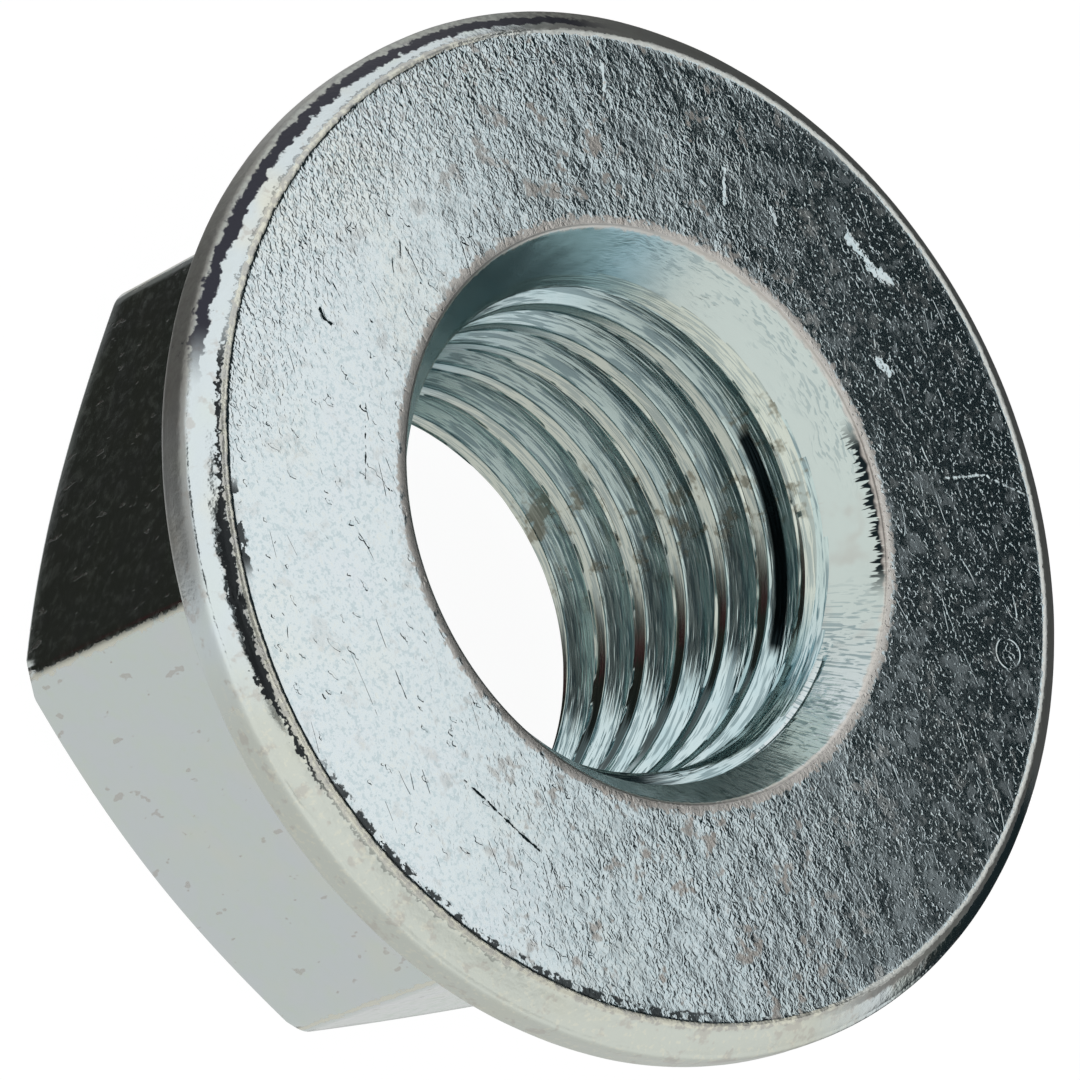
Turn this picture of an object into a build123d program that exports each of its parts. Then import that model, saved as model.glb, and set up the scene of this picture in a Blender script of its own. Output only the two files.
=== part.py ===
from build123d import *
from build123d.topology import SkipClean
from math import ceil, radians, tan
import os

# Hexagon nut with a plain round flange and a metric fine thread, M12 x 1.5, in one piece.
# Millimetres. The origin is the centre of the hexagon's end face, the thread's axis is Z, and
# the bearing face of the flange is at z = height. Two corners of the hexagon lie on the X axis.

# Hexagon, with a 30 degree chamfer round its end
height = 10.95
across_flats = 16.9
corner_radius = 0.6
end_land_diameter = 16.1
end_chamfer_angle = 30

# Flange: a bevelled rim with a rounded corner, and a back that slopes down to the hexagon
flange_diameter = 23.0
rim_bevel_width = 0.7
rim_bevel_height = 0.6
rim_band_height = 0.78
rim_corner_radius = 0.2
flange_back_angle = 20
neck_bevel = 0.3

# Thread: the crest is what the drill left, a little wider than the basic profile has it
thread_diameter = 12.0
thread_pitch = 1.5
thread_angle = 60
drill_allowance = 0.174
thread_start_angle = -47.6

# Countersinks at the two mouths of the thread, each wider than the thread by a clearance
bearing_mouth_clearance = 0.65
bearing_mouth_angle = 68
end_mouth_clearance = 0.1
end_mouth_angle = 120

# The drilled hole is cut in sectors, whose seams keep off the seams between thread turns.
bore_sectors = 6
sector_seam_lead = 8

# How far a cutter runs past the surface that it cuts through
axial_overrun = 1.0
radial_overrun = 0.3

# Basic profile of an ISO thread: a sharp triangle, cut off at its root and at its crest
sharp_depth = thread_pitch / 2 / tan(radians(thread_angle / 2))
crest_radius = thread_diameter / 2 - sharp_depth * 5 / 8 + drill_allowance / 2
root_radius = thread_diameter / 2
root_flat = thread_pitch / 8


def turned(section):
    """Solid of revolution about Z of a section drawn as radius and height."""
    return revolve(Plane.XZ * section, axis=Axis.Z)


def hexagon():
    """Hexagon with rounded corners, coned at its end face and running up into the flange."""
    outline = RegularPolygon(across_flats / 2, 6, major_radius=False)
    prism = extrude(fillet(outline.vertices(), corner_radius), height - rim_bevel_height)
    land = end_land_diameter / 2
    reach = across_flats
    rise = (reach - land) * tan(radians(end_chamfer_angle))
    corners = [(0, 0), (land, 0), (reach, rise), (reach, height + rise), (0, height + rise)]
    return prism & turned(Polygon(*corners, align=None))


def flange():
    """Disc with a bevel on its bearing side, a straight rim and a coned back."""
    rim = flange_diameter / 2
    band_top = height - rim_bevel_height
    band_bottom = band_top - rim_band_height
    back_drop = (rim - root_radius) * tan(radians(flange_back_angle))
    section = Polygon(
        (0, height),
        (rim - rim_bevel_width, height),
        (rim, band_top),
        (rim, band_bottom),
        (root_radius, band_bottom - back_drop),
        (0, band_bottom - back_drop),
        align=None,
    )
    rim_corner = section.vertices().group_by(Axis.X)[-1].sort_by(Axis.Y)[-1]
    return turned(fillet(rim_corner, rim_corner_radius))


def blank():
    """The forging before it is drilled, with a small bevel where the hexagon meets the flange."""
    base = hexagon()
    disc = flange()
    joined = base + disc
    neck = new_edges(base, disc, combined=joined)
    return chamfer(neck, neck_bevel)


def drill_sector(index):
    """One sector of the drilled hole."""
    angle = 360 / bore_sectors
    bottom = -axial_overrun
    top = height + axial_overrun
    section = Polygon((0, bottom), (crest_radius, bottom), (crest_radius, top), (0, top), align=None)
    sector = revolve(Plane.XZ * section, axis=Axis.Z, revolution_arc=angle)
    return Rot(0, 0, thread_start_angle + sector_seam_lead + index * angle) * sector


def countersink(clearance, angle):
    """Cone for a mouth in the plane z = 0, widening upwards past it."""
    slope = tan(radians(angle / 2))
    depth = (root_radius + clearance / 2 - crest_radius) / slope
    top_radius = crest_radius + (depth + axial_overrun) * slope
    return turned(
        Polygon(
            (0, -depth),
            (crest_radius, -depth),
            (top_radius, axial_overrun),
            (0, axial_overrun),
            align=None,
        )
    )


def groove_turn(index):
    """One turn of the groove between crests, counted from below the end face."""
    mouth_radius = crest_radius - radial_overrun
    mouth_flat = root_flat + 2 * (root_radius - mouth_radius) * tan(radians(thread_angle / 2))
    start = (index - 1.5) * thread_pitch
    section = Polygon(
        (mouth_radius, start - mouth_flat / 2),
        (root_radius, start - root_flat / 2),
        (root_radius, start + root_flat / 2),
        (mouth_radius, start + mouth_flat / 2),
        align=None,
    )
    path = Helix(thread_pitch, thread_pitch, crest_radius, center=(0, 0, start))
    groove = sweep(Plane.XZ * section, path=path, is_frenet=True)
    return Rot(0, 0, thread_start_angle) * groove


def flange_nut():
    """The whole nut: the blank, drilled, countersunk at both mouths and tapped right through."""
    turns = ceil(height / thread_pitch) + 2
    cutters = [drill_sector(index) for index in range(bore_sectors)]
    cutters += [Pos(0, 0, height) * countersink(bearing_mouth_clearance, bearing_mouth_angle)]
    cutters += [Rot(180, 0, 0) * countersink(end_mouth_clearance, end_mouth_angle)]
    cutters += [groove_turn(index) for index in range(turns)]
    nut = blank()
    with SkipClean():
        for cutter in cutters:
            nut = nut - cutter
    return nut.solid()


os.makedirs("parts", exist_ok=True)
export_step(flange_nut(), "parts/flange_nut.step")
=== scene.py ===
"""Hexagon flange nut, zinc plated, on a white floor, seen from above its bearing face.

The nut is one closed mesh that stands for the CAD node "flange_nut". Its outer skin is a
stack of rings round the axis, and its bore is a grid whose rows climb with the thread.

Sizes are in millimetres up to the point where the mesh is written, which is in metres like
the frame. Azimuths are counted round the axis from +X, in degrees where radians() isn't used.
"""

from math import atan, cos, pi, radians, sin, tan

import bpy
import numpy as np
from mathutils import Euler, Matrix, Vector, noise

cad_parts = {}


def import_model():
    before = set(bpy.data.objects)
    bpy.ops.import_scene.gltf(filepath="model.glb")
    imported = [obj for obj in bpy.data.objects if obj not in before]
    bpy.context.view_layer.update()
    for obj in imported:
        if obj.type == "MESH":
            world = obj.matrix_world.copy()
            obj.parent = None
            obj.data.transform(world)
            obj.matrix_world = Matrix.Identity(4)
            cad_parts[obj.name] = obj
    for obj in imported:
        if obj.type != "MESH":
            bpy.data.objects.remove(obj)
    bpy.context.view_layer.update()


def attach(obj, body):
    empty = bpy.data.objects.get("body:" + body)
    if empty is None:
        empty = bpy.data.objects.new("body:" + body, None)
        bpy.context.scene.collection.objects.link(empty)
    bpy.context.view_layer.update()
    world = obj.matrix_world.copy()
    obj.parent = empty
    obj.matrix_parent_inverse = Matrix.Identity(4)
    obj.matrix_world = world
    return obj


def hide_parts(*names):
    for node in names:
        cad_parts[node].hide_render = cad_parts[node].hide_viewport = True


MM = 0.001

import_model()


# ---------------------------------------------------------------------------------------------
# Sizes of the nut, as the CAD has them
# ---------------------------------------------------------------------------------------------

HEIGHT = 10.95
ACROSS_FLATS = 16.9
HEX_CORNER_RADIUS = 0.6
END_LAND_RADIUS = 8.05
END_CHAMFER = radians(30)

RIM_RADIUS = 11.5
BEVEL_WIDTH = 0.7
BEVEL_HEIGHT = 0.6
BAND_HEIGHT = 0.78
BEVEL_END_Z = HEIGHT - BEVEL_HEIGHT
BAND_END_Z = BEVEL_END_Z - BAND_HEIGHT
BACK_SLOPE = radians(20)
NECK_RADIUS = 0.3

PITCH = 1.5
ROOT_RADIUS = 6.0
CREST_RADIUS = 5.275
ROOT_FLAT = PITCH / 8
FLANK = radians(30)
THREAD_START = radians(-47.6)

BEARING_MOUTH_RADIUS = 6.325
BEARING_MOUTH = radians(34)
END_MOUTH_RADIUS = 6.05
END_MOUTH = radians(60)

# The bore was drilled this far off the axis of the forging.
BORE_CENTRE = Vector((-0.147, 0.0615, 0))

# Details that only the visible mesh has
FACE_DROP = 0.025
FACE_Z = HEIGHT - FACE_DROP
HIGHEST = HEIGHT - 0.001
LIP_RADIUS = 0.1
RIM_ROUND = 0.18
BACK_ROUND = 0.16
CHAMFER_ROUND = 0.1
CHAMFER_LEAN = 0.3
CHAMFER_LEAN_AZIMUTH = radians(178)
LAND_ROUND = 0.08

COLUMNS = 348
CORNER_CROWDING = 0.6


# ---------------------------------------------------------------------------------------------
# Small tools for the mesh
# ---------------------------------------------------------------------------------------------


def turn_angles():
    """Angles of the columns, closer together at the six corners of the hexagon."""
    even = np.arange(COLUMNS) * 2 * pi / COLUMNS
    return even - CORNER_CROWDING / 6 * np.sin(6 * even)


THETA = turn_angles()
COS, SIN = np.cos(THETA), np.sin(THETA)


def grain(points, size, seed):
    """Smooth noise from about -1 to 1 at an array of points, in lumps of about `size`."""
    shift = Vector((17.3, 5.1, 9.7)) * seed
    flat = points.reshape(-1, 3) / size
    values = [noise.noise(Vector(p) + shift) for p in flat]
    return np.array(values).reshape(points.shape[:-1])


def around(size, seed, radius=RIM_RADIUS):
    """Noise that varies round the nut only, one value for each column."""
    ring = np.stack([radius * COS, radius * SIN, np.zeros(COLUMNS)], axis=-1)
    return grain(ring, size, seed)


def smooth_step(x, low, high):
    t = np.clip((x - low) / (high - low), 0, 1)
    return t * t * (3 - 2 * t)


def smooth_min(a, b, width):
    h = np.clip(0.5 + 0.5 * (b - a) / width, 0, 1)
    return b + (a - b) * h - width * h * (1 - h)


def smooth_max(a, b, width):
    return -smooth_min(-a, -b, width)


# ---------------------------------------------------------------------------------------------
# Outer skin: rings from the bearing mouth over the rim and down the hexagon to the end mouth
# ---------------------------------------------------------------------------------------------


def hexagon_radius():
    """Distance from the axis to the side of the hexagon in every column."""
    apothem = ACROSS_FLATS / 2
    centre = (apothem - HEX_CORNER_RADIUS) / cos(radians(30))
    sector = radians(60)
    from_corner = (THETA + sector / 2) % sector - sector / 2
    from_flat = sector / 2 - np.abs(from_corner)
    tangent = atan(
        HEX_CORNER_RADIUS * 0.5 / (centre + HEX_CORNER_RADIUS * cos(radians(30)))
    )
    flat = apothem / np.cos(from_flat)
    inside = np.maximum(HEX_CORNER_RADIUS**2 - (centre * np.sin(from_corner)) ** 2, 0)
    rounded = centre * np.cos(from_corner) + np.sqrt(inside)
    return np.where(np.abs(from_corner) < tangent, rounded, flat)


def bearing_cone(z):
    return BEARING_MOUTH_RADIUS - (HEIGHT - z) * tan(BEARING_MOUTH)


def end_cone(z):
    return END_MOUTH_RADIUS - z * tan(END_MOUTH)


class Skin:
    """Rings of the outer skin in order. Each has a radius and a height in every column."""

    def __init__(self):
        self.rings = []
        self.zones = []
        self.face_edge = None

    def ring(self, radius, z, zone, off_centre=0.0):
        full = np.ones(COLUMNS)
        radius, z = radius * full, z * full
        x = radius * COS + BORE_CENTRE.x * off_centre
        y = radius * SIN + BORE_CENTRE.y * off_centre
        self.rings.append(np.stack([x, y, z], axis=-1))
        self.zones.append(zone)

    def bend(self, first, corner, last, steps, zone, off_centre=0.0):
        """Rings that round a corner. Its start, sharp corner and end are (radius, z)."""
        for t in np.linspace(0, 1, steps):
            a, b, c = (1 - t) ** 2, 2 * t * (1 - t), t * t
            self.ring(
                a * first[0] + b * corner[0] + c * last[0],
                a * first[1] + b * corner[1] + c * last[1],
                zone,
                off_centre,
            )


def face_height():
    """Height of the bearing face at its inner edge, a little under the CAD's."""
    return FACE_Z + 0.004 * around(6, 1, 6.5)


def lip_reach(half_angle):
    """Distance from the sharp corner of a lip to the start of its rounding."""
    return LIP_RADIUS * tan((pi / 2 - half_angle) / 2)


def lip(skin, mouth, z_face, half_angle, side, zone):
    """Rounded edge between a countersink and the flat round it."""
    reach = lip_reach(half_angle)
    on_cone = (mouth - reach * sin(half_angle), z_face - side * reach * cos(half_angle))
    on_flat = (mouth + reach, z_face)
    ends = (on_cone, on_flat) if side > 0 else (on_flat, on_cone)
    skin.bend(ends[0], (mouth, z_face), ends[1], 4, zone, 1.0)


# Profile of the flange's edge, from the face down the bevel: distance outward from the face's
# edge, depth below the face, and the share that the fold has there.
EDGE_PROFILE = (
    (-0.08, 0.0, 0.0),
    (-0.045, -0.001, 0.0),
    (-0.015, -0.005, 0.0),
    (0.03, -0.012, 0.0),
    (0.08, -0.002, 0.0),
    (0.12, 0.030, 0.0),
    (0.15, 0.070, 1.0),
    (0.20, 0.115, 1.0),
    (0.26, 0.165, 0.5),
    (0.33, 0.225, 0.0),
    (0.40, 0.290, 0.0),
    (0.48, 0.365, 0.0),
    (0.57, 0.462, 0.0),
)
EDGE_RADIUS = RIM_RADIUS - BEVEL_WIDTH
# Where the face's edge lies further out or in: azimuth, spread in degrees and distance
EDGE_SHIFTS = ((60, 35, -0.10), (350, 22, 0.08), (268, 18, 0.06), (232, 14, -0.04))
# The band ripples by this much at most, and always inside the rim's radius.
BAND_RIPPLE = 0.004
FOLD_DEPTH = 0.09
FOLD_AZIMUTH = 247
FOLD_SPREAD = 13
# The rim is a little flat on one side.
FLAT_AZIMUTH, FLAT_SPREAD, FLAT_DEPTH = 172, 18, 0.05


def hump(centre, spread):
    """1 at an azimuth, falling off within a spread, in degrees, in every column."""
    turned = (np.degrees(THETA) - centre + 180) % 360 - 180
    return np.exp(-((turned / spread) ** 2))


def add_bearing_face(skin):
    """The bearing mouth's lip and the face, up to where the edge profile starts."""
    z_in = face_height()
    mouth = bearing_cone(z_in)
    lip(skin, mouth, z_in, BEARING_MOUTH, 1, "countersink")

    face_edge = EDGE_RADIUS + 0.012 * around(1.7, 2) + 0.012 * around(0.45, 3)
    for azimuth, spread, distance in EDGE_SHIFTS:
        face_edge = face_edge + distance * hump(azimuth, spread)
    skin.face_edge = face_edge
    face_end = face_edge + EDGE_PROFILE[0][0]
    face_start = mouth + lip_reach(BEARING_MOUTH)
    for t in np.linspace(0, 1, 23)[1:-1]:
        radius = face_start + (face_end - face_start) * t
        ring = np.stack([radius * COS, radius * SIN, np.zeros(COLUMNS)], axis=-1)
        swell = 0.005 * grain(ring, 3.0, 4) + 0.001 * grain(ring, 0.9, 5)
        skin.ring(radius, z_in + (FACE_Z - z_in) * t + swell, "face", 1 - t)


def add_rim(skin, rim):
    """Burr at the face's edge, bevel with a fold on one side, and straight band."""
    open_side = hump(FOLD_AZIMUTH, FOLD_SPREAD)
    fold = FOLD_DEPTH * open_side * np.clip(0.75 + 1.1 * around(0.5, 7), 0.1, 1.5)
    lumps = 0.008 * around(0.35, 10)
    for outward, depth, fold_share in EDGE_PROFILE:
        share = np.clip(outward / BEVEL_WIDTH, 0, 1)
        radius = skin.face_edge * (1 - share) + (rim - BEVEL_WIDTH) * share + outward
        z = FACE_Z - depth - fold * fold_share + lumps * smooth_step(depth, 0.0, 0.1)
        zone = "face" if outward < 0 else "bevel"
        skin.ring(radius, np.minimum(z, HIGHEST), zone)
    outward, depth = EDGE_PROFILE[-1][:2]
    start = (rim - BEVEL_WIDTH + outward + 0.03, FACE_Z - depth - 0.03)
    corner = (rim, BEVEL_END_Z + 0.06)
    skin.bend(start, corner, (rim, BEVEL_END_Z - RIM_ROUND), 5, "bevel")
    band_start = BEVEL_END_Z - RIM_ROUND
    for t in (0.25, 0.5, 0.75):
        ripple = np.minimum(0.006 * around(0.9, 11 + int(4 * t)), BAND_RIPPLE)
        z = band_start + (BAND_END_Z + BACK_ROUND - BEVEL_END_Z + RIM_ROUND) * t
        skin.ring(rim - BAND_RIPPLE + ripple, z, "band")


def flange_back(radius):
    """Height of the flange's sloping back."""
    return BAND_END_Z - (RIM_RADIUS - radius) * tan(BACK_SLOPE)


def add_back(skin, rim, side):
    """Rounded lower edge of the rim, sloping back of the flange, and neck."""
    back_z = BAND_END_Z - BACK_ROUND * sin(BACK_SLOPE)
    back_r = rim - BACK_ROUND * cos(BACK_SLOPE)
    band_end = (rim, BAND_END_Z + BACK_ROUND)
    skin.bend(band_end, (rim, BAND_END_Z), (back_r, back_z), 5, "band")
    neck_out = side + NECK_RADIUS
    for t in (0.25, 0.5, 0.75):
        radius = back_r + (neck_out - back_r) * t
        skin.ring(radius, back_z + (flange_back(neck_out) - back_z) * t, "back")
    neck_start = (neck_out, flange_back(neck_out))
    neck_end = (side, flange_back(side) - NECK_RADIUS)
    skin.bend(neck_start, (side, flange_back(side)), neck_end, 5, "back")


def add_hexagon(skin, side):
    """Sides of the hexagon, the chamfer of its end, its flat end and the end mouth's lip."""
    lean = np.maximum(np.cos(THETA - CHAMFER_LEAN_AZIMUTH), 0) ** 2
    land = END_LAND_RADIUS + CHAMFER_LEAN * lean
    chamfer_z = (side - land) * tan(END_CHAMFER) * (1 - 0.3 * lean)
    neck_low = flange_back(side) - NECK_RADIUS
    side_end = chamfer_z + CHAMFER_ROUND
    for t in np.linspace(0, 1, 13)[1:-1]:
        z = neck_low + (side_end - neck_low) * t**0.85
        ring = np.stack([side * COS, side * SIN, z], axis=-1)
        skin.ring(side - 0.006 * np.abs(grain(ring, 1.6, 20)), z, "side")

    in_r = side - CHAMFER_ROUND * cos(END_CHAMFER)
    in_z = chamfer_z - CHAMFER_ROUND * sin(END_CHAMFER)
    skin.bend((side, side_end), (side, chamfer_z), (in_r, in_z), 4, "side")
    land_r = land + LAND_ROUND * cos(END_CHAMFER)
    land_z = LAND_ROUND * sin(END_CHAMFER)
    for t in (0.25, 0.5, 0.75):
        skin.ring(in_r + (land_r - in_r) * t, in_z + (land_z - in_z) * t, "end")
    flat_r = land - LAND_ROUND
    skin.bend((land_r, land_z), (land, 0), (flat_r, 0), 3, "end")
    inner = END_MOUTH_RADIUS + lip_reach(END_MOUTH)
    for t in (0.3, 0.6, 0.85):
        skin.ring(flat_r + (inner - flat_r) * t, 0, "end", t)
    lip(skin, END_MOUTH_RADIUS, 0, END_MOUTH, -1, "end")


def outer_skin():
    skin = Skin()
    add_bearing_face(skin)
    rim = RIM_RADIUS - 0.012 + 0.010 * around(2.2, 8) - 0.006 * np.abs(around(0.8, 9))
    rim = rim - FLAT_DEPTH * hump(FLAT_AZIMUTH, FLAT_SPREAD)
    add_rim(skin, rim)
    side = hexagon_radius()
    add_back(skin, rim, side)
    add_hexagon(skin, side)
    return skin


# ---------------------------------------------------------------------------------------------
# Bore: rows that climb one pitch a turn
# ---------------------------------------------------------------------------------------------

# Places of the rows in half a pitch, measured from the middle of the groove
HALF_ROWS = (0.06, 0.095, 0.13, 0.2, 0.29, 0.38, 0.46, 0.497, 0.52, 0.55, 0.59, 0.65)
ROWS_PER_PITCH = 2 * len(HALF_ROWS) + 2
THREAD_ROUNDING = 0.05

# The last turn of the groove grows shallow while its middle climbs between these heights.
LAST_TURN_CLIMB = (9.74, 9.90)
LAST_TURN_SHALLOW = 0.325
# Above this height all of the bore is countersink.
THREAD_TOP = 9.7823
# Rows nearer than this to a lip are joined to it.
LIP_GAP = 0.01
# Height of the middle of the last full groove at azimuth 0
LAST_FULL_TURN = 5.5 * PITCH - THREAD_START / (2 * pi) * PITCH

# The tap left a burr along the lower edge of the crest, with a furrow beside it: distance from
# the crest's edge, height and width.
BURR = (0.03, 0.02, 0.03)
FURROW = (0.085, -0.035, 0.035)


def row_places():
    """Heights of the rows in one pitch, from the middle of a groove up."""
    half = np.array(HALF_ROWS)
    return np.concatenate([[0.0], half, [PITCH / 2], PITCH - half[::-1]])


def thread_radius(phase):
    """Radius of the thread at a height above the middle of the groove."""
    off = np.abs((phase + PITCH / 2) % PITCH - PITCH / 2)
    slope = ROOT_RADIUS - (off - ROOT_FLAT / 2) / tan(FLANK)
    radius = smooth_min(slope, np.full_like(slope, ROOT_RADIUS), THREAD_ROUNDING)
    return smooth_max(radius, np.full_like(slope, CREST_RADIUS), THREAD_ROUNDING)


def pull_onto_runout(z, gap, low, high):
    """Moves rows onto the line where the thread runs out, which is where `gap` changes sign.

    Returns the new heights, and which of them were moved.
    """
    snapped = np.zeros(z.shape, bool)
    moved = z.copy()
    for j in range(z.shape[1] - 1):
        a, b = gap[:, j], gap[:, j + 1]
        cross = (a * b < 0) & (z[:, j + 1] > low[:, 0]) & (z[:, j] < high[:, 0])
        t = np.where(cross, a / np.where(cross, a - b, 1), 0)
        at = z[:, j] + (z[:, j + 1] - z[:, j]) * t
        first = cross & (t < 0.5) & ~snapped[:, j]
        second = cross & ~first & ~snapped[:, j + 1]
        moved[:, j] = np.where(first, at, moved[:, j])
        snapped[:, j] |= first
        moved[:, j + 1] = np.where(second, at, moved[:, j + 1])
        snapped[:, j + 1] |= second
    return moved, snapped


def bore(skin):
    """Grid of the bore: positions, and for every vertex its place on thread or countersink."""
    places = row_places()
    crest_edge = ROOT_FLAT / 2 + (ROOT_RADIUS - CREST_RADIUS) * tan(FLANK)
    turns = int(HEIGHT / PITCH) + 3
    base = np.concatenate([places + PITCH * k for k in range(-2, turns)])
    lift = PITCH * ((THETA - THREAD_START) / (2 * pi) - 0.5)
    z = base[None, :] + lift[:, None]
    phase = np.broadcast_to(base[None, :], z.shape)

    low = np.full(COLUMNS, lip_reach(END_MOUTH) * cos(END_MOUTH))
    high = skin.rings[0][:, 2]
    low, high = low[:, None], high[:, None]

    off = np.abs((phase + PITCH / 2) % PITCH - PITCH / 2)
    up_crest = phase % PITCH - crest_edge
    groove_middle = PITCH * np.round(base / PITCH)[None, :] + lift[:, None]
    shallow = LAST_TURN_SHALLOW * smooth_step(groove_middle, *LAST_TURN_CLIMB)

    def thread_at(height, shift):
        cut = thread_radius(phase + (height - z)) - shallow
        return np.maximum(cut, CREST_RADIUS) - shift

    def cone_at(height):
        return np.maximum(bearing_cone(height), end_cone(height))

    points = np.stack(
        [
            CREST_RADIUS * COS[:, None] + 0 * z,
            CREST_RADIUS * SIN[:, None] + 0 * z,
            z,
        ],
        axis=-1,
    )
    rag = np.clip(0.55 + 1.1 * grain(points, 0.8, 30), 0, 1.2)
    shift = 0
    for place, rise, width in (BURR, FURROW):
        shift = shift + rise * rag * np.exp(-(((up_crest - place) / width) ** 2))

    gap = thread_at(z, shift) - cone_at(z)
    moved, snapped = pull_onto_runout(z, gap, low, high)
    below, above = moved <= low + LIP_GAP, moved >= high - LIP_GAP
    moved = np.clip(moved, low, high)
    thread, cone = thread_at(moved, shift), cone_at(moved)
    radius = np.maximum(thread, cone)
    dimple = 0.008 * grain(points, 0.7, 31) + 0.004 * grain(points, 0.3, 32)
    radius = radius + np.where(cone > thread, dimple, 0.15 * dimple) * ~(below | above)
    x = radius * COS[:, None] + BORE_CENTRE.x
    y = radius * SIN[:, None] + BORE_CENTRE.y
    return {
        "points": np.stack([x, y, moved], axis=-1),
        "snapped": snapped,
        "below": below,
        "above": above,
        "on_cone": cone > thread + 1e-6,
        "off": off,
        "crest_edge": crest_edge,
        "past_thread": z > THREAD_TOP,
    }


# ---------------------------------------------------------------------------------------------
# Knocks on the corners of the hexagon: flats cut by a plane (azimuth, elevation, distance)
# ---------------------------------------------------------------------------------------------

# Knocks only reach points this far below the band, which leaves the flange's back whole.
KNOCKS_BELOW_BAND = 1.2
KNOCKS = (
    (203, -4, 8.94),
    (240, -35, 7.33),
    (301, -40, 6.74),
    (60, -38, 6.97),
    (0, -30, 7.84),
    (119, -48, 6.12),
)


def knock(points):
    """Cuts the knocks into the hexagon."""
    hexagon = points[..., 2] < BAND_END_Z - KNOCKS_BELOW_BAND
    for azimuth, elevation, distance in KNOCKS:
        a, e = radians(azimuth), radians(elevation)
        normal = np.array([cos(a) * cos(e), sin(a) * cos(e), sin(e)])
        over = np.maximum(points @ normal - distance, 0) * hexagon
        points = points - over[..., None] * normal
    return points


# ---------------------------------------------------------------------------------------------
# The nut's mesh
# ---------------------------------------------------------------------------------------------

ZONES = ("face", "bevel", "band", "back", "side", "end", "countersink")
THREAD_ZONES = ("thread", "crest")

# The mesh attribute past_edge says how many millimetres outside the face's edge a vertex is.
# In the bore it has this value.
PAST_EDGE_IN_BORE = -4.0
SHARP_ANGLE = radians(32)


class Faces:
    """Triangles, with the number of the zone of each."""

    order = ZONES + THREAD_ZONES

    def __init__(self):
        self.triangles = []
        self.slots = []

    def add(self, corners, zone):
        if len(set(corners)) == 3:
            self.triangles.append(corners)
            self.slots.append(self.order.index(zone))

    def add_rings(self, zones):
        """Joins the rings, whose vertices come first, each to the next."""
        for k in range(len(zones) - 1):
            for i in range(COLUMNS):
                n = (i + 1) % COLUMNS
                a, b = k * COLUMNS + i, k * COLUMNS + n
                c, d = a + COLUMNS, b + COLUMNS
                self.add((a, c, b), zones[k + 1])
                self.add((b, c, d), zones[k + 1])

    def add_bore(self, grid, index):
        """Joins the bore's columns, the last to the first one pitch higher."""
        snaps = grid["snapped"]
        for i in range(COLUMNS):
            n, step = (i + 1, 0) if i + 1 < COLUMNS else (0, ROWS_PER_PITCH)
            for j in range(index.shape[1] - 1 - step):
                a, b = index[i, j], index[n, j + step]
                c, d = index[i, j + 1], index[n, j + 1 + step]
                zone = bore_zone(grid, i, n, j, step)
                if snaps[i, j + 1] and snaps[n, j + step]:
                    self.add((a, c, b), zone)
                    self.add((c, d, b), zone)
                else:
                    self.add((a, c, d), zone)
                    self.add((a, d, b), zone)


def bore_zone(grid, i, n, j, step):
    """Zone of the bore between rows j and j + 1 of columns i and n."""
    on_cone = grid["on_cone"][i, j] + grid["on_cone"][n, j + step]
    on_cone += grid["on_cone"][i, j + 1] + grid["on_cone"][n, j + 1 + step]
    if on_cone >= 2 or grid["past_thread"][i, j]:
        return "countersink"
    off = (grid["off"][i, j] + grid["off"][i, j + 1]) / 2
    return "crest" if off > grid["crest_edge"] else "thread"


def nut_mesh(materials):
    skin = outer_skin()
    rings = knock(np.stack(skin.rings))
    grid = bore(skin)
    on_rings = len(rings) * COLUMNS

    # Rows past a lip use the skin's vertices: its first ring is the bearing mouth's lip and
    # its last ring the end mouth's.
    vertices = list(rings.reshape(-1, 3))
    index = np.empty(grid["below"].shape, int)
    for i in range(COLUMNS):
        for j in range(index.shape[1]):
            if grid["below"][i, j]:
                index[i, j] = on_rings - COLUMNS + i
            elif grid["above"][i, j]:
                index[i, j] = i
            else:
                index[i, j] = len(vertices)
                vertices.append(grid["points"][i, j])

    faces = Faces()
    faces.add_rings(skin.zones)
    faces.add_bore(grid, index)

    mesh = bpy.data.meshes.new("flange_nut_plated")
    coordinates = (np.array(vertices) * MM).tolist()
    mesh.from_pydata(coordinates, [], faces.triangles)
    for name in faces.order:
        mesh.materials.append(materials[name])
    mesh.polygons.foreach_set("material_index", faces.slots)
    past_edge = np.full(len(vertices), PAST_EDGE_IN_BORE)
    flat_radius = np.hypot(rings[..., 0], rings[..., 1])
    past_edge[:on_rings] = (flat_radius - skin.face_edge).ravel()
    attribute = mesh.attributes.new("past_edge", "FLOAT", "POINT")
    attribute.data.foreach_set("value", past_edge)
    mesh.validate()
    mesh.shade_smooth()
    mesh.set_sharp_from_angle(angle=SHARP_ANGLE)
    return mesh


# ---------------------------------------------------------------------------------------------
# Node trees
# ---------------------------------------------------------------------------------------------


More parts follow.
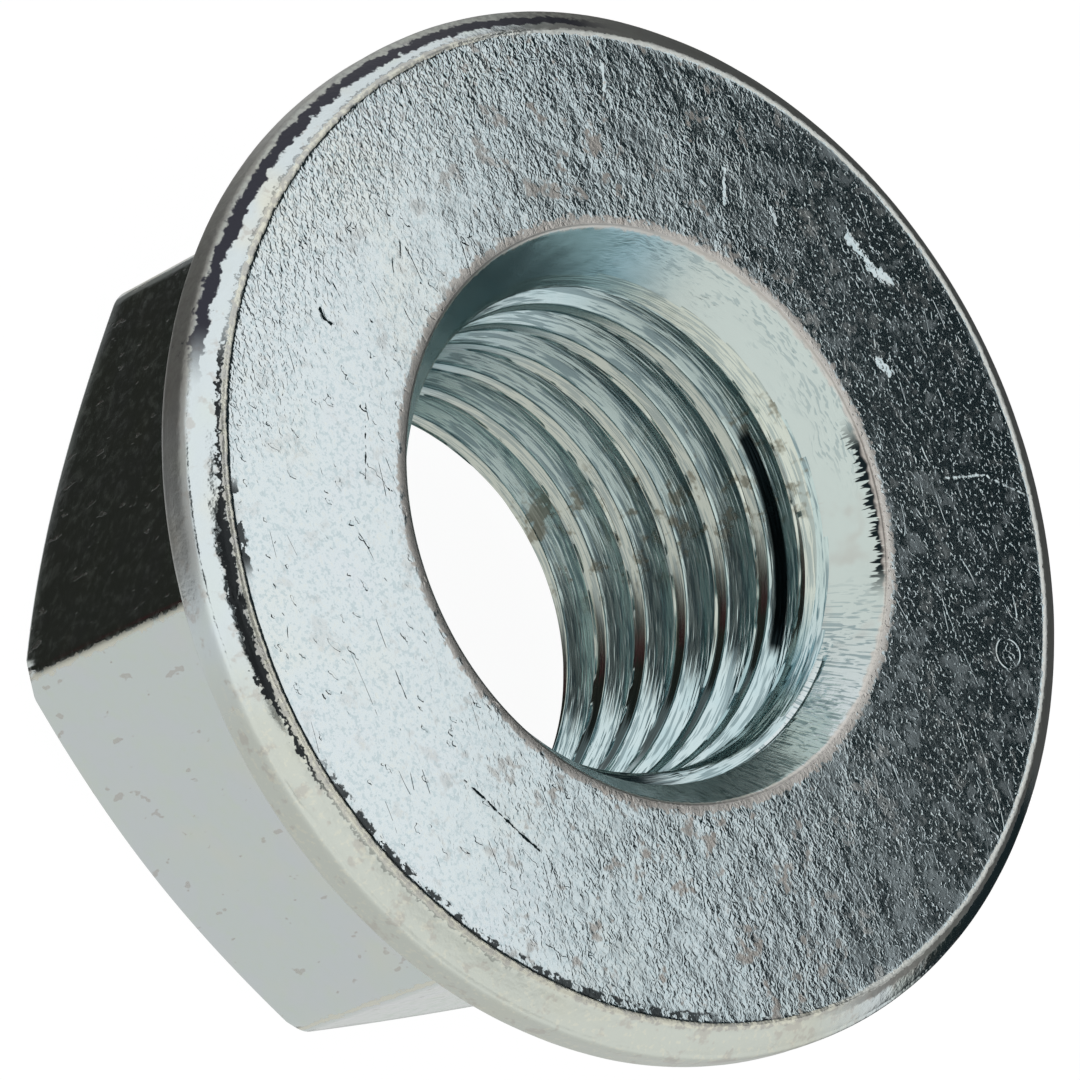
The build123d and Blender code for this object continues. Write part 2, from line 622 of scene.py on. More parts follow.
class Nodes:
    """Builds a node tree. Every method returns an output socket."""

    def __init__(self, tree):
        self.tree = tree
        tree.nodes.clear()

    def node(self, kind, inputs=(), **settings):
        made = self.tree.nodes.new(kind)
        for name, value in settings.items():
            setattr(made, name, value)
        for key, value in dict(inputs).items():
            if isinstance(value, bpy.types.NodeSocket):
                self.tree.links.new(value, made.inputs[key])
            else:
                made.inputs[key].default_value = value
        return made

    def math(self, operation, *values):
        inputs = dict(enumerate(values))
        return self.node("ShaderNodeMath", inputs, operation=operation).outputs[0]

    def add(self, *values):
        total = values[0]
        for value in values[1:]:
            total = self.math("ADD", total, value)
        return total

    def times(self, *values):
        total = values[0]
        for value in values[1:]:
            total = self.math("MULTIPLY", total, value)
        return total

    def vector(self, operation, *values):
        inputs = dict(enumerate(values))
        made = self.node("ShaderNodeVectorMath", inputs, operation=operation)
        return made.outputs[1 if operation in ("LENGTH", "DISTANCE", "DOT_PRODUCT") else 0]

    def step(self, value, low, high):
        """0 below `low` and 1 above `high`, or the other way round, with a smooth slope."""
        inputs = {0: value, 1: low, 2: high, 3: 0.0, 4: 1.0}
        if low > high:
            inputs = {0: value, 1: high, 2: low, 3: 1.0, 4: 0.0}
        made = self.node("ShaderNodeMapRange", inputs, interpolation_type="SMOOTHSTEP")
        return made.outputs[0]

    def window(self, value, low, high, soft):
        """1 between `low` and `high`, falling to 0 over `soft` outside them."""
        return self.times(
            self.step(value, low - soft, low), self.step(value, high + soft, high)
        )

    def noise(self, vector, scale, detail=2.0, roughness=0.5, distortion=0.0):
        inputs = {
            "Vector": vector,
            "Scale": scale,
            "Detail": detail,
            "Roughness": roughness,
            "Distortion": distortion,
        }
        made = self.node("ShaderNodeTexNoise", inputs, noise_dimensions="3D")
        return made.outputs["Fac"]

    def mix(self, factor, a, b):
        """Colour a where the factor is 0 and b where it is 1."""
        made = self.node("ShaderNodeMix", {0: factor, 6: a, 7: b}, data_type="RGBA")
        return made.outputs[2]

    def blend(self, factor, a, b):
        """Number a where the factor is 0 and b where it is 1."""
        return self.node("ShaderNodeMix", {0: factor, 2: a, 3: b}).outputs[0]

    def combine(self, x, y, z):
        return self.node("ShaderNodeCombineXYZ", {0: x, 1: y, 2: z}).outputs[0]

    def separate(self, vector):
        return self.node("ShaderNodeSeparateXYZ", {0: vector}).outputs

    def bump(self, height):
        """Relief of a height in millimetres."""
        inputs = {"Height": height, "Distance": MM, "Strength": 1.0}
        return self.node("ShaderNodeBump", inputs).outputs[0]


def colour(red, green, blue):
    return (red, green, blue, 1.0)


# ---------------------------------------------------------------------------------------------
# Zinc plate
# ---------------------------------------------------------------------------------------------

ZINC = colour(0.69, 0.765, 0.785)
SIDE_GREY = colour(0.71, 0.77, 0.725)
ZINC_GREEN = colour(0.71, 0.79, 0.70)
FACET_GREEN = colour(0.62, 0.79, 0.65)
ZINC_CREAM = colour(0.80, 0.79, 0.66)
ZINC_LILAC = colour(0.72, 0.74, 0.82)
ZINC_COOL = colour(0.59, 0.72, 0.74)
SPECKLE_TEAL = colour(0.47, 0.58, 0.61)
CONE_GREEN = colour(0.585, 0.665, 0.63)
THREAD_GREEN = colour(0.58, 0.70, 0.66)
CONE_TEAL = colour(0.36, 0.53, 0.59)
BURR_PALE = colour(0.86, 0.88, 0.83)
LIP_PINK = colour(0.66, 0.615, 0.565)
BORE_TEAL = colour(0.46, 0.63, 0.67)
BORE_SHADOW = colour(0.22, 0.31, 0.33)
CREST_TEAL = colour(0.38, 0.54, 0.565)
CREST_PALE = colour(0.75, 0.775, 0.66)
FILM_BEIGE = colour(0.50, 0.455, 0.41)
FILM_GREY = colour(0.36, 0.42, 0.44)
FILM_BROWN = colour(0.22, 0.205, 0.145)
DARK_PURPLE = colour(0.035, 0.036, 0.05)
FILM_DULL = colour(0.26, 0.255, 0.235)
FILM_OLIVE = colour(0.40, 0.41, 0.365)
RIM_BEIGE = colour(0.64, 0.67, 0.585)
RIDGE_GREY = colour(0.50, 0.49, 0.45)
# Near-black of painted shade and shadow: the bevel's fold and the blots along the face's near
# edge
CREVICE_SHADE = colour(0.02, 0.024, 0.026)
# Near-black of the dark screens in the room, also painted on the nut as their reflection
SCREEN_DARK = colour(0.010, 0.017, 0.019)

# Azimuth across the bearing face, from its bright side to its dark side
FACE_SHADE_AZIMUTH = radians(50)

# Dark places that the materials paint at their place on the nut: painted reflection of the
# dark screens along the last groove and on the lip, and painted shadow in blots along the
# face's near edge. Each range is a start, an end and the width of its fade.
LAST_GROOVE_REFLECTION_AZIMUTHS = (31, 80, 4)
LAST_GROOVE_REFLECTION_HEIGHTS = (-0.43, -0.32, 0.03)
LIP_REFLECTION_AZIMUTHS = (44, 68, 8)
LIP_REFLECTION_RADII = (6.45, 6.60, 0.04)
EDGE_SHADOW_AZIMUTHS = ((233, 240, 3), (268, 318, 8))
EDGE_SHADOW_REACH = (-0.10, 0.12, 0.05)

# Stretch of the thread that is stained, given in the same way
THREAD_DIRT_AZIMUTHS = (64, 84, 12)
# How much longer than wide the tool lines of the thread are
LINE_STRETCH = 16


def millimetres(n):
    """Place on the nut in millimetres."""
    place = n.node("ShaderNodeTexCoord").outputs["Object"]
    made = n.node(
        "ShaderNodeVectorMath", {0: place, "Scale": 1 / MM}, operation="SCALE"
    )
    return made.outputs[0]


def toward(n, place, azimuth):
    """How far a place lies in the direction of an azimuth."""
    return n.vector("DOT_PRODUCT", place, (cos(azimuth), sin(azimuth), 0))


def streaked(n, place, azimuth, stretch):
    """Place turned so that X runs along the streaks, and shortened along them."""
    along = n.times(toward(n, place, azimuth), 1 / stretch)
    across = toward(n, place, azimuth + pi / 2)
    return n.combine(along, across, n.separate(place)[2])


class Around:
    """A place by its height, distance and azimuth round an upright axis."""

    def __init__(self, n, place, centre):
        self.n = n
        offset = n.vector("SUBTRACT", place, tuple(centre))
        self.x, self.y, self.z = n.separate(offset)[:3]
        self.radius = n.vector("LENGTH", n.combine(self.x, self.y, 0.0))
        self.azimuth = n.times(n.math("ARCTAN2", self.y, self.x), 180 / pi)

    def direction(self):
        """X and Y of the unit vector from the axis to the place."""
        return [self.n.math("DIVIDE", part, self.radius) for part in (self.x, self.y)]


def tilt_mark(n, place, ragged, points, width, slope):
    """Relief of a small ragged facet that follows a line of points on the bearing face."""
    nearest = None
    for start, end in zip(points, points[1:]):
        a, b = Vector((*start, HEIGHT)), Vector((*end, HEIGHT))
        along = b - a
        from_a = n.vector("SUBTRACT", place, tuple(a))
        share = n.vector("DOT_PRODUCT", from_a, tuple(along / along.length_squared))
        share = n.math("MINIMUM", n.math("MAXIMUM", share, 0.0), 1.0)
        on_line = n.node(
            "ShaderNodeVectorMath", {0: tuple(along), "Scale": share}, operation="SCALE"
        )
        away = n.vector("DISTANCE", from_a, on_line.outputs[0])
        nearest = away if nearest is None else n.math("MINIMUM", nearest, away)
    frayed = n.times(n.add(ragged, -0.5), 1.4 * width)
    inside = n.step(n.add(nearest, frayed), 0.5 * width, 0.3 * width)
    middle = sum((Vector((*p, HEIGHT)) for p in points), Vector()) / len(points)
    up = toward(n, n.vector("SUBTRACT", place, tuple(middle)), radians(72))
    return n.times(inside, up, slope)


# Dents and scratches on the bearing face: points in millimetres, width and slope
FACE_MARKS = (
    (((-1.37, 9.14), (-0.51, 9.19), (-0.03, 9.42)), 0.24, 0.09),
    (((1.05, 7.74), (1.43, 7.81)), 0.28, 0.09),
    (((-3.02, 7.80), (-2.73, 7.70)), 0.18, 0.09),
    (((-7.96, 6.38), (-7.48, 5.95)), 0.10, 0.09),
    (((-4.37, 7.40), (-3.85, 6.77)), 0.13, 0.09),
    (((4.00, 7.29), (4.62, 8.30), (5.23, 8.70), (5.71, 9.02)), 0.07, 0.06),
    (((-8.15, -3.86), (-7.91, -3.92), (-7.74, -3.82)), 0.085, -0.10),
    (((-5.95, -4.48), (-4.93, -5.53)), 0.05, -0.10),
    (((1.00, -8.13), (2.00, -7.93), (3.15, -7.68)), 0.075, -0.30),
)
RING_MARK = (7.81, 5.81, HEIGHT)
RING_MARK_RADIUS = 0.34


def finish_metal(n, base, roughness, normal, metallic=1.0):
    shader = n.node(
        "ShaderNodeBsdfPrincipled",
        {
            "Base Color": base,
            "Metallic": metallic,
            "Roughness": roughness,
            "Normal": normal,
        },
    )
    n.node("ShaderNodeOutputMaterial", {"Surface": shader.outputs[0]})


def new_material(name):
    material = bpy.data.materials.new(name)
    material.use_nodes = True
    return material, Nodes(material.node_tree)


def tinted(n, place, base, first, second):
    """The base colour, drifting towards two others in broad soft patches."""
    patch = n.noise(place, 0.5, 2.0, 0.55)
    base = n.mix(n.times(n.step(patch, 0.52, 0.75), 0.7), base, first)
    return n.mix(n.times(n.step(patch, 0.48, 0.25), 0.7), base, second)


class FaceEdge:
    """The face's edge as its materials see it, with the burr it carries."""

    def __init__(self, n, ragged, turned):
        attribute = n.node("ShaderNodeAttribute", attribute_name="past_edge")
        self.past = attribute.outputs["Fac"]
        self.frayed = n.add(self.past, n.times(n.add(ragged, -0.5), 0.16))
        self.relief = n.times(n.window(self.frayed, 0.0, 0.05, 0.03), 0.005)
        self.far = n.window(n.math("WRAP", turned, 270.0, -90.0), -12, 145, 14)
        self.burr = n.times(n.window(self.frayed, -0.035, 0.05, 0.02), self.far, 0.85)


def stroke_relief(n, place, at, turned, ragged, broad, worn_and_shaded, calm):
    """Short strokes, soft on the bright side, which give way to pimples on the dark side."""
    warp = n.combine(n.times(ragged, 0.10), n.times(ragged, 0.20), 0.0)
    left = n.vector("ADD", warp, streaked(n, place, radians(0), 2.2))
    right = n.vector("ADD", warp, streaked(n, place, radians(-38), 1.6))
    strokes = n.noise(right, 13.5, 1.0, 0.5)
    pimples = n.step(n.noise(place, 11, 1.0, 0.5), 0.60, 0.72)
    commas = n.step(n.noise(left, 4.6, 1.0, 0.6), 0.685, 0.715)
    depth = n.blend(worn_and_shaded, 0.0010, n.blend(n.step(broad, 0.40, 0.58), 0.0024, 0.0048))
    depth = n.blend(calm, depth, 0.0010)
    left_edge = n.times(n.window(turned, 160, 215, 22), n.step(at.radius, 8.0, 10.3))
    depth = n.add(depth, n.times(left_edge, 0.0045))
    return n.add(
        n.times(strokes, depth),
        n.times(pimples, n.blend(calm, 0.0, 0.0040)),
        n.times(commas, -0.0045),
        n.times(broad, 0.0045),
    )


def scratched(n, height, place, ragged, broad):
    """The relief with long fine scratches and the marks, but without the ring."""
    # Each scratch is the narrow line between two patches of a noise.
    drawn = n.noise(streaked(n, place, radians(-24), 7), 1.1, 1.0, 0.5)
    line = n.step(n.math("ABSOLUTE", n.add(drawn, -0.5)), 0.010, 0.003)
    height = n.add(height, n.times(line, n.step(broad, 0.52, 0.62), -0.0014))
    for points, width, slope in FACE_MARKS:
        height = n.add(height, tilt_mark(n, place, ragged, points, width, slope))
    return height


def edge_shadow_blots(n, place, edge, turned, ragged):
    """Share of black blots along the near edge of the face, which are painted shadow."""
    blots = n.step(n.noise(place, 3.2, 3.0, 0.7), 0.49, 0.53)
    reach = n.window(n.add(edge.past, n.times(ragged, 0.2)), *EDGE_SHADOW_REACH)
    stretches = [n.window(turned, *azimuths) for azimuths in EDGE_SHADOW_AZIMUTHS]
    return n.times(n.times(blots, reach), n.math("MAXIMUM", *stretches), 0.9)


def face_material():
    material, n = new_material("zinc_bearing_face")
    place = millimetres(n)
    at = Around(n, place, BORE_CENTRE)
    turned = n.math("FLOORED_MODULO", at.azimuth, 360.0)
    across = toward(n, place, FACE_SHADE_AZIMUTH)
    worn_and_shaded = n.step(across, -7.5, -1.0)
    calm = n.step(across, 2.0, 6.5)
    ragged = n.noise(place, 7, 1.0, 0.5)
    broad = n.noise(place, 1.1, 2.0, 0.6)
    edge = FaceEdge(n, ragged, at.azimuth)

    height = stroke_relief(n, place, at, turned, ragged, broad, worn_and_shaded, calm)
    height = scratched(n, height, place, ragged, broad)
    height = n.add(height, edge.relief)
    from_ring = n.add(n.vector("DISTANCE", place, RING_MARK), -RING_MARK_RADIUS)
    ring = n.step(n.math("ABSOLUTE", from_ring), 0.045, 0.01)
    height = n.add(height, n.times(ring, 0.003))

    # Thin films of dirt and passivation, and fine speckling. The dark side also gets painted
    # shade:
    # a teal cast, which covers the middle too, and more grey film. Black blots along the near
    # edge are painted shadow.
    film = n.noise(place, 1.7, 3.0, 0.66)
    beige = n.blend(worn_and_shaded, 0.15, n.blend(calm, 0.8, 0.25))
    beige = n.times(n.step(film, 0.56, 0.66), beige)
    grey = n.times(n.step(film, 0.49, 0.34), n.blend(calm, n.times(worn_and_shaded, 0.25), 0.8))
    to_bore = n.add(at.radius, n.times(ragged, 0.45))
    halo = n.times(n.step(to_bore, 6.80, 6.70), 0.8)
    speckle = n.noise(place, 9, 2.0, 0.7)
    blots = edge_shadow_blots(n, place, edge, turned, ragged)
    base = n.mix(0.25, ZINC, tinted(n, place, ZINC, ZINC_LILAC, ZINC_CREAM))
    base = n.mix(n.times(n.step(speckle, 0.50, 0.64), 0.6), base, SPECKLE_TEAL)
    base = n.mix(n.times(n.step(speckle, 0.42, 0.30), 0.2), base, ZINC_CREAM)
    # Painted shade: a teal cast over the middle and dark side of the face
    base = n.mix(n.times(worn_and_shaded, 0.5), base, SPECKLE_TEAL)
    # Grey film: real film in patches, laid on more thickly on the dark side as painted shade
    base = n.mix(grey, base, FILM_GREY)
    base = n.mix(beige, base, FILM_BEIGE)
    base = n.mix(halo, base, LIP_PINK)
    base = n.mix(edge.burr, base, BURR_PALE)
    # Painted shadow: black blots along the near edge
    base = n.mix(blots, base, CREVICE_SHADE)
    dull = n.math("MAXIMUM", n.math("MAXIMUM", beige, halo), n.times(grey, 0.6))
    dull = n.math("MAXIMUM", dull, blots)
    roughness = n.blend(edge.burr, n.blend(dull, 0.08, 0.28), 0.40)
    finish_metal(n, base, roughness, n.bump(height), n.blend(edge.burr, 1.0, 0.4))
    return material


def countersink_material():
    material, n = new_material("zinc_countersink")
    place = millimetres(n)
    at = Around(n, place, BORE_CENTRE)
    reach = ROOT_RADIUS
    ux, uy = at.direction()
    slopes = n.combine(n.times(ux, reach), n.times(uy, reach), n.times(at.z, 0.22))
    turns = n.combine(n.times(ux, reach / 5), n.times(uy, reach / 5), n.times(at.z, 1.0))
    broad = n.noise(place, 1.2, 2.0, 0.6)
    warp = n.combine(0.0, 0.0, n.times(broad, 0.25))
    dry_side = n.window(at.azimuth, -40, 28, 18)
    top_side = n.window(at.azimuth, 72, 135, 15)
    low_side = n.window(at.azimuth, -130, -45, 20)
    tangential = n.noise(n.vector("ADD", turns, warp), 19, 1.0, 0.6)
    ticks = n.noise(n.vector("ADD", slopes, warp), 14, 1.0, 0.6)
    scuffed = n.times(top_side, n.step(n.add(at.radius, n.times(broad, 1.2)), 6.2, 6.7))
    pitted = n.math("MAXIMUM", n.times(scuffed, 0.9), low_side)
    height = n.add(
        n.times(ticks, n.add(0.0008, n.times(dry_side, 0.009))),
        n.times(tangential, n.add(0.0010, n.times(pitted, 0.0075))),
        n.times(broad, 0.010),
    )
    drawn = n.math(
        "MAXIMUM",
        n.times(n.step(tangential, 0.53, 0.62), pitted, 0.5),
        n.times(n.step(ticks, 0.52, 0.62), dry_side, 0.75),
    )
    stain = n.times(n.step(broad, 0.50, 0.72), n.window(at.azimuth, 30, 58, 12), 0.35)
    foot = n.step(n.add(at.radius, n.times(ticks, 0.3)), 5.75, 5.55)
    stain = n.math("MAXIMUM", stain, n.times(foot, n.window(at.azimuth, -30, 60, 15), 0.55))
    outer = n.add(at.radius, n.times(n.noise(place, 5, 1.0, 0.6), 0.12))
    lip = n.times(n.step(outer, 6.30, 6.36), 0.8)
    teal = n.math(
        "MAXIMUM",
        n.window(at.azimuth, -150, -62, 22),
        n.step(n.math("ABSOLUTE", at.azimuth), 116, 138),
    )
    shade = n.mix(n.step(at.azimuth, 40, 5), CONE_GREEN, ZINC)
    shade = n.mix(teal, shade, CONE_TEAL)
    shade = n.mix(drawn, shade, BORE_SHADOW)
    shade = n.mix(stain, shade, FILM_BEIGE)
    # Painted reflection: a near-black sliver of screen dark on the lip
    sliver = n.window(n.add(at.radius, n.times(ticks, 0.5)), *LIP_REFLECTION_RADII)
    sliver = n.times(sliver, n.window(at.azimuth, *LIP_REFLECTION_AZIMUTHS))
    shade = n.mix(sliver, shade, SCREEN_DARK)
    shade = n.mix(lip, shade, LIP_PINK)
    satin = n.times(n.step(n.math("ABSOLUTE", at.azimuth), 105, 130), 0.5)
    satin = n.math("MAXIMUM", satin, n.times(n.window(at.azimuth, -60, -12, 15), 0.4))
    film = n.math("MAXIMUM", n.math("MAXIMUM", stain, lip), satin)
    finish_metal(n, shade, n.blend(film, 0.11, 0.4), n.bump(height))
    return material


def bore_material(name, base, patch_colour, upper_colour, rise, relief, line_share):
    """Thread surface with tool lines round it. `rise` says how fast they change upward."""
    material, n = new_material(name)
    place = millimetres(n)
    at = Around(n, place, BORE_CENTRE)
    ux, uy = at.direction()
    lines = n.combine(
        n.add(n.times(ux, ROOT_RADIUS / LINE_STRETCH), n.times(at.z, 0.07)),
        n.times(uy, ROOT_RADIUS / LINE_STRETCH),
        n.add(at.radius, n.times(at.z, rise)),
    )
    fine = n.noise(lines, 21, 1.0, 0.5)
    bold = n.noise(lines, 8, 1.0, 0.6)
    broad = n.noise(place, 0.9, 2.0, 0.6)
    height = n.add(n.times(fine, relief), n.times(bold, relief * 1.2))
    upper = n.window(at.azimuth, 45, 118, 25)
    shade = n.mix(n.times(n.step(broad, 0.40, 0.75), 0.6), base, patch_colour)
    shade = n.mix(n.times(upper, 0.8), shade, upper_colour)
    drawn = n.math("MAXIMUM", n.step(fine, 0.53, 0.62), n.step(bold, 0.55, 0.62))
    shade = n.mix(n.times(drawn, line_share), shade, BORE_SHADOW)
    dirt = n.step(n.noise(place, 1.6, 3.0, 0.72), 0.52, 0.64)
    dirt = n.times(dirt, n.window(at.azimuth, *THREAD_DIRT_AZIMUTHS), 0.75)
    shade = n.mix(dirt, shade, FILM_BROWN)
    # Painted reflection: a near-black line of screen dark along the last groove
    from_groove = n.add(at.z, n.times(at.azimuth, -PITCH / 360), -LAST_FULL_TURN)
    black = n.window(from_groove, *LAST_GROOVE_REFLECTION_HEIGHTS)
    black = n.times(black, n.window(at.azimuth, *LAST_GROOVE_REFLECTION_AZIMUTHS))
    shade = n.mix(black, shade, SCREEN_DARK)
    satin = n.math("MAXIMUM", dirt, n.times(n.window(at.azimuth, 50, 190, 20), 0.5))
    finish_metal(n, shade, n.blend(satin, 0.10, 0.40), n.bump(height))
    return material


def rim_material(name):
    """Bevel, band and back of the flange: dull, lumpy plate with dirt on some stretches, and
    painted shade in the bevel's fold.
    """
    material, n = new_material(name)
    place = millimetres(n)
    at = Around(n, place, (0, 0, 0))
    turned = n.math("FLOORED_MODULO", at.azimuth, 360.0)
    ragged = n.noise(place, 7, 2.0, 0.6)
    edge = FaceEdge(n, ragged, at.azimuth)
    broad = n.noise(place, 2.2, 3.0, 0.6)
    height = n.add(n.times(broad, 0.022), n.times(ragged, 0.006), edge.relief)

    # Pale green plate, beige low on the near side, with a lumpy cream ridge along the face
    near = n.window(turned, 258, 335, 14)
    shade = tinted(n, place, ZINC, ZINC_GREEN, ZINC_CREAM)
    shade = n.mix(n.times(near, 0.8), shade, RIM_BEIGE)
    specks = n.times(n.step(broad, 0.56, 0.66), 0.45)
    veins = n.times(n.step(ragged, 0.54, 0.68), near, 0.45)
    shade = n.mix(veins, n.mix(specks, shade, FILM_BEIGE), ZINC_CREAM)
    ridge = n.times(n.window(edge.frayed, 0.0, 0.11, 0.03), n.window(turned, 165, 330, 20))
    lumps = n.step(ragged, 0.40, 0.60)
    shade = n.mix(n.times(ridge, 0.8), shade, n.mix(lumps, RIDGE_GREY, ZINC_CREAM))

    # Dull film on the far side, lower on the left, and a near-black band under the ridge on
    # the left
    wrapped = n.math("WRAP", at.azimuth, 270.0, -90.0)
    low = n.step(edge.frayed, 0.18, 0.26)
    far = n.times(edge.far, n.step(edge.past, 0.02, 0.06))
    far = n.times(far, n.blend(low, 1.0, n.window(wrapped, 28, 145, 10)), 0.9)
    shade = n.mix(far, shade, FILM_DULL)
    left = n.window(turned, 145, 213, 8)
    slanted = n.add(edge.frayed, n.times(n.add(turned, -185), -0.003))
    olive = n.times(n.window(turned, 145, 218, 10), n.step(slanted, 0.46, 0.56), 0.8)
    shade = n.mix(olive, shade, n.mix(lumps, FILM_DULL, FILM_OLIVE))
    side = n.times(n.window(turned, 150, 236, 10), n.step(edge.past, 0.62, 0.68), 0.75)
    shade = n.mix(side, shade, FILM_DULL)
    dark = n.times(left, n.window(n.add(slanted, n.times(broad, 0.3)), 0.52, 0.68, 0.04))
    shade = n.mix(dark, shade, DARK_PURPLE)
    # Painted shade: a near-black line in the bevel's fold, widest where the fold opens
    width = n.add(
        0.02,
        n.times(n.window(turned, 218, 262, 8), 0.035),
        n.times(n.window(turned, 236, 252, 5), 0.125),
    )
    top = n.math("SUBTRACT", n.add(edge.past, n.times(n.add(ragged, -0.5), 0.35)), width)
    fold = n.times(n.step(top, 0.145, 0.115), n.step(edge.frayed, 0.115, 0.135))
    fold = n.times(fold, n.blend(n.window(turned, 218, 262, 6), 0.45, 1.0))
    fold = n.times(fold, n.window(turned, 165, 290, 10))
    shade = n.mix(fold, shade, CREVICE_SHADE)
    shade = n.mix(edge.burr, shade, BURR_PALE)
    film = n.math("MAXIMUM", n.math("MAXIMUM", far, dark), n.math("MAXIMUM", fold, olive))
    film = n.math("MAXIMUM", film, n.math("MAXIMUM", edge.burr, n.times(ridge, 0.5)))
    film = n.math("MAXIMUM", film, side)
    roughness = n.blend(n.math("MAXIMUM", film, n.times(near, 0.6)), 0.14, 0.42)
    finish_metal(n, shade, roughness, n.bump(height), n.blend(film, 1.0, 0.7))
    return material


def side_material(name):
    """Sides and end of the hexagon."""
    material, n = new_material(name)
    place = millimetres(n)
    moved = n.vector("ADD", place, (5, 50, 9))
    dashes = n.vector("MULTIPLY", moved, (1.0, 1.0, 0.45))
    dash = n.step(n.noise(dashes, 3.4, 2.0, 0.6), 0.665, 0.70)
    broad = n.noise(moved, 0.8, 1.0, 0.5)
    height = n.add(
        n.times(broad, 0.012),
        n.times(n.noise(place, 9, 1.0, 0.6, 0.5), n.times(n.step(broad, 0.4, 0.56), 0.0014)),
        n.times(dash, -0.0025),
    )
    shade = n.mix(0.35, SIDE_GREY, tinted(n, place, ZINC, ZINC_GREEN, ZINC_CREAM))
    azimuth = Around(n, place, (0, 0, 0)).azimuth
    from_corner = n.math("PINGPONG", azimuth, 30.0)
    fine = n.noise(place, 4, 3.0, 0.65)
    corner = n.step(n.add(from_corner, n.times(n.add(fine, -0.5), 2.4)), 0.55, 0.3)
    marks = n.math("MAXIMUM", n.times(dash, 0.5), n.times(corner, 0.75))
    shade = n.mix(n.times(n.step(fine, 0.52, 0.66), 0.45), shade, ZINC_GREEN)
    shade = n.mix(n.times(n.step(broad, 0.50, 0.62), 0.25), shade, ZINC_LILAC)
    greenish = n.times(n.window(azimuth, -46, -14, 14), n.step(fine, 0.36, 0.60), 0.6)
    shade = n.mix(greenish, shade, FACET_GREEN)
    shade = n.mix(marks, shade, n.mix(corner, FILM_BEIGE, ZINC_CREAM))
    clouded = n.blend(n.step(fine, 0.44, 0.66), 0.12, 0.21)
    finish_metal(n, shade, n.blend(marks, clouded, 0.36), n.bump(height))
    return material


# ---------------------------------------------------------------------------------------------
# Room: white floor, and surroundings with dark screens that the metal mirrors
# ---------------------------------------------------------------------------------------------

ROOM_DARK = colour(0.019, 0.020, 0.017)
RED_GLINT = colour(0.045, 0.010, 0.014)

# Dark screen behind the nut, by azimuth and elevation, in degrees. Its top edge is given by
# the elevation at one azimuth and by a slope.
SCREEN_AZIMUTHS = (36, 110, 10)
SCREEN_TOP, SCREEN_TOP_AZIMUTH, SCREEN_TOP_SLOPE = 49.7, 66, -0.077
SCREEN_TOP_FADE = 0.9
SCREEN_FOOT = (-52, -38)

# Other parts of the room: azimuth and elevation of the middle, and how far from there, in
# degrees, each starts and is full
HOOD = (-152, 68, 24, 16)
DARK_NEAR_LEFT = (-176, -51, 27, 17)
DARK_FAR_LEFT = (140, -54, 16, 9)
DIM_CEILING = (-28, 60, 38, 24)
RED_THING = (-165, -48, 7, 4)

FLOOR_HALF_WIDTH = 1.5
FLOOR_GAP = 0.02


def world():
    made = bpy.data.worlds.new("studio")
    bpy.context.scene.world = made
    made.use_nodes = True
    n = Nodes(made.node_tree)
    ray = n.node("ShaderNodeTexCoord").outputs["Generated"]
    x, y, z = n.separate(ray)[:3]
    azimuth = n.times(n.math("ARCTAN2", y, x), 180 / pi)
    elevation = n.times(n.math("ARCSINE", z), 180 / pi)

    def covered(part):
        """1 where the ray meets a part of the room."""
        a, e = radians(part[0]), radians(part[1])
        centre = (cos(a) * cos(e), sin(a) * cos(e), sin(e))
        cosine = n.vector("DOT_PRODUCT", ray, centre)
        return n.step(n.times(n.math("ARCCOSINE", cosine), 180 / pi), *part[2:])

    at_zero = SCREEN_TOP - SCREEN_TOP_SLOPE * SCREEN_TOP_AZIMUTH
    edge = n.add(n.times(azimuth, SCREEN_TOP_SLOPE), at_zero)
    over_edge = n.math("SUBTRACT", elevation, edge)
    behind = n.times(
        n.window(azimuth, *SCREEN_AZIMUTHS),
        n.step(over_edge, SCREEN_TOP_FADE, -SCREEN_TOP_FADE),
        n.step(elevation, *SCREEN_FOOT),
    )
    hood = n.times(covered(HOOD), 0.97)
    far_left = n.times(covered(DARK_FAR_LEFT), 0.8)
    low_side = n.math("MAXIMUM", covered(DARK_NEAR_LEFT), far_left)
    level = n.blend(n.step(elevation, -50, 50), 0.66, 1.0)
    ceiling = n.times(covered(DIM_CEILING), 0.34)
    level = n.times(level, n.math("SUBTRACT", 1.0, ceiling))
    dark = n.math("MAXIMUM", n.math("MAXIMUM", behind, low_side), hood)
    light = n.combine(level, level, level)
    shade = n.mix(low_side, SCREEN_DARK, ROOM_DARK)
    shade = n.mix(covered(RED_THING), shade, RED_GLINT)
    tone = n.mix(dark, light, shade)
    seen = n.node("ShaderNodeLightPath").outputs["Is Camera Ray"]
    tone = n.mix(seen, tone, colour(1, 1, 1))
    background = n.node("ShaderNodeBackground", {"Color": tone, "Strength": 1.0})
    n.node("ShaderNodeOutputWorld", {"Surface": background.outputs[0]})


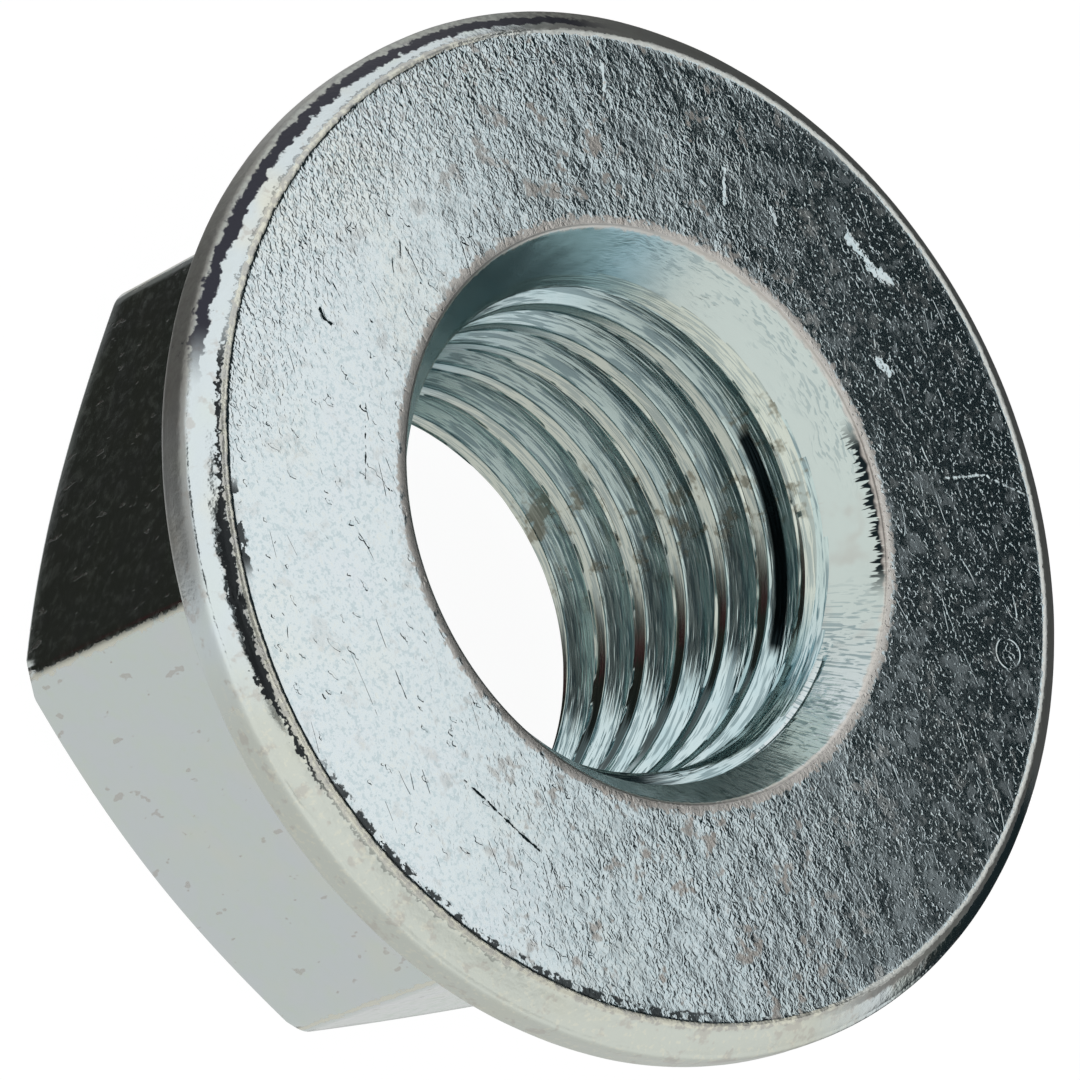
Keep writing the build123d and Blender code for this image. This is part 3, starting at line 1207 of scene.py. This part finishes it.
def floor():
    size = FLOOR_HALF_WIDTH
    mesh = bpy.data.meshes.new("floor")
    corners = [(-size, -size, 0), (size, -size, 0), (size, size, 0), (-size, size, 0)]
    mesh.from_pydata(corners, [], [(0, 1, 2, 3)])
    ground = bpy.data.objects.new("floor", mesh)
    ground.location.z = -FLOOR_GAP * MM
    bpy.context.scene.collection.objects.link(ground)
    ground.visible_glossy = False
    material, n = new_material("floor_white")
    diffuse = n.node("ShaderNodeBsdfDiffuse", {"Color": colour(0.12, 0.12, 0.12)})
    light = n.node("ShaderNodeEmission", {"Color": colour(0.94, 0.94, 0.94)})
    both = n.node("ShaderNodeAddShader", {0: diffuse.outputs[0], 1: light.outputs[0]})
    path = n.node("ShaderNodeLightPath")
    seen = path.outputs["Is Camera Ray"]
    plain = n.node("ShaderNodeBsdfDiffuse", {"Color": colour(0.8, 0.8, 0.8)})
    surface = n.node(
        "ShaderNodeMixShader", {0: seen, 1: plain.outputs[0], 2: both.outputs[0]}
    )
    n.node("ShaderNodeOutputMaterial", {"Surface": surface.outputs[0]})
    mesh.materials.append(material)


def camera():
    data = bpy.data.cameras.new("camera")
    data.sensor_width = 36
    data.lens = 200.45
    data.clip_start = 0.01
    made = bpy.data.objects.new("camera", data)
    made.location = Vector((-24.0335, -79.2756, 106.7847)) * MM
    turn = (radians(18.567), radians(-35.792), radians(43.662))
    made.rotation_euler = Euler(turn, "XYZ")
    bpy.context.scene.collection.objects.link(made)
    bpy.context.scene.camera = made


# ---------------------------------------------------------------------------------------------
# Scene
# ---------------------------------------------------------------------------------------------

bpy.context.scene.view_settings.view_transform = "Standard"

RIM = rim_material("zinc_rim")
HEXAGON = side_material("zinc_hexagon")
MATERIALS = {
    "face": face_material(),
    "bevel": RIM,
    "band": RIM,
    "back": RIM,
    "side": HEXAGON,
    "end": HEXAGON,
    "countersink": countersink_material(),
    "thread": bore_material(
        "zinc_thread",
        ZINC_COOL,
        BORE_TEAL,
        THREAD_GREEN,
        rise=0.3,
        relief=0.008,
        line_share=0.8,
    ),
    "crest": bore_material(
        "zinc_crest",
        CREST_TEAL,
        BORE_TEAL,
        CREST_PALE,
        rise=1.0,
        relief=0.0025,
        line_share=0.5,
    ),
}

nut = bpy.data.objects.new("flange_nut_plated", nut_mesh(MATERIALS))
bpy.context.scene.collection.objects.link(nut)
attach(nut, "root")
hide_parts("flange_nut")

world()
floor()
camera()
